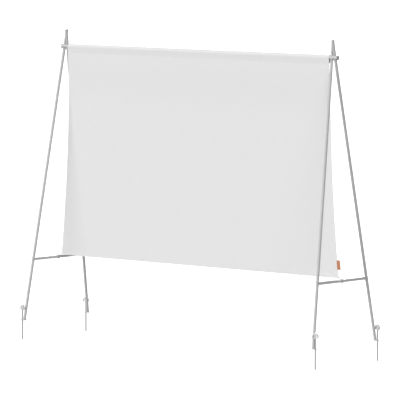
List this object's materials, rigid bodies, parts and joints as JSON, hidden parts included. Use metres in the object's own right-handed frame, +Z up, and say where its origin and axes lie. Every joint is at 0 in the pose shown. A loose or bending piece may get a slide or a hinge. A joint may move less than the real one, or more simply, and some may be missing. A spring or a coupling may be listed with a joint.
{
  "type": "portable projection screen",
  "caption": "Free-standing projection screen: a white cloth hung by a sleeve from a top tube on two A-frames of thin tube, tied down at its lower corners, with ground pegs at the feet.",
  "frame": {"origin": "under the middle of the screen, level with the tips of the ground pegs; the soles of the feet are 114 mm above it", "axes": "+X to the right seen from the front, along the top tube; +Y to the back; +Z up"},
  "size_m": [2.2242, 0.5554, 1.8016],
  "materials": {
    "frame_paint": "smooth silver-grey powder coat",
    "frame_cap": "moulded grey plastic",
    "foot_metal": "silver-grey powder coat, scuffed at the edges",
    "peg_steel": "galvanised steel rod",
    "peg_plastic": "moulded off-white plastic",
    "screen_fabric": "matt white woven polyester, hemmed",
    "tag_ribbon": "orange woven ribbon",
    "tie_cord": "light grey braided cord"
  },
  "bodies": {
    "bar_and_screen": {"top_bar": "frame_paint", "bar_end_cap_left": "frame_cap", "bar_end_cap_right": "frame_cap", "screen_cloth": "screen_fabric", "side_tag": "tag_ribbon", "spreader_tube_left": "frame_paint", "corner_tie_left": "tie_cord", "tie_knot_left": "tie_cord", "spreader_tube_right": "frame_paint", "corner_tie_right": "tie_cord", "tie_knot_right": "tie_cord", "spreader_eye_front_left": "frame_paint", "spreader_eye_front_right": "frame_paint", "spreader_eye_rear_left": "frame_paint", "spreader_eye_rear_right": "frame_paint"},
    "leg_front_left": {"leg_tube_front_left": "frame_paint", "leg_cap_front_left": "frame_cap", "leg_collar_front_left": "frame_paint", "foot_front_left": "foot_metal"},
    "peg_front_left": {"peg_shaft_front_left": "peg_steel", "peg_head_front_left": "peg_plastic"},
    "leg_front_right": {"leg_tube_front_right": "frame_paint", "leg_cap_front_right": "frame_cap", "leg_collar_front_right": "frame_paint", "foot_front_right": "foot_metal"},
    "peg_front_right": {"peg_shaft_front_right": "peg_steel", "peg_head_front_right": "peg_plastic"},
    "leg_rear_left": {"leg_tube_rear_left": "frame_paint", "leg_cap_rear_left": "frame_cap", "leg_collar_rear_left": "frame_paint", "foot_rear_left": "foot_metal"},
    "peg_rear_left": {"peg_shaft_rear_left": "peg_steel", "peg_head_rear_left": "peg_plastic"},
    "leg_rear_right": {"leg_tube_rear_right": "frame_paint", "leg_cap_rear_right": "frame_cap", "leg_collar_rear_right": "frame_paint", "foot_rear_right": "foot_metal"},
    "peg_rear_right": {"peg_shaft_rear_right": "peg_steel", "peg_head_rear_right": "peg_plastic"}
  },
  "joints": [
    {"name": "leg_slide_front_left", "type": "slide", "parent": "bar_and_screen", "child": "leg_front_left", "axis": [-0.0512, -0.1653, -0.9849], "range_m": [0, 0.115]},
    {"name": "peg_slide_front_left", "type": "slide", "parent": "leg_front_left", "child": "peg_front_left", "axis": [0, 0, 1], "range_m": [0, 0.12]},
    {"name": "leg_slide_front_right", "type": "slide", "parent": "bar_and_screen", "child": "leg_front_right", "axis": [0.0512, -0.1653, -0.9849], "range_m": [0, 0.115]},
    {"name": "peg_slide_front_right", "type": "slide", "parent": "leg_front_right", "child": "peg_front_right", "axis": [0, 0, 1], "range_m": [0, 0.12]},
    {"name": "leg_slide_rear_left", "type": "slide", "parent": "bar_and_screen", "child": "leg_rear_left", "axis": [-0.0512, 0.1653, -0.9849], "range_m": [0, 0.115]},
    {"name": "peg_slide_rear_left", "type": "slide", "parent": "leg_rear_left", "child": "peg_rear_left", "axis": [0, 0, 1], "range_m": [0, 0.12]},
    {"name": "leg_slide_rear_right", "type": "slide", "parent": "bar_and_screen", "child": "leg_rear_right", "axis": [0.0512, 0.1653, -0.9849], "range_m": [0, 0.115]},
    {"name": "peg_slide_rear_right", "type": "slide", "parent": "leg_rear_right", "child": "peg_rear_right", "axis": [0, 0, 1], "range_m": [0, 0.12]}
  ]
}
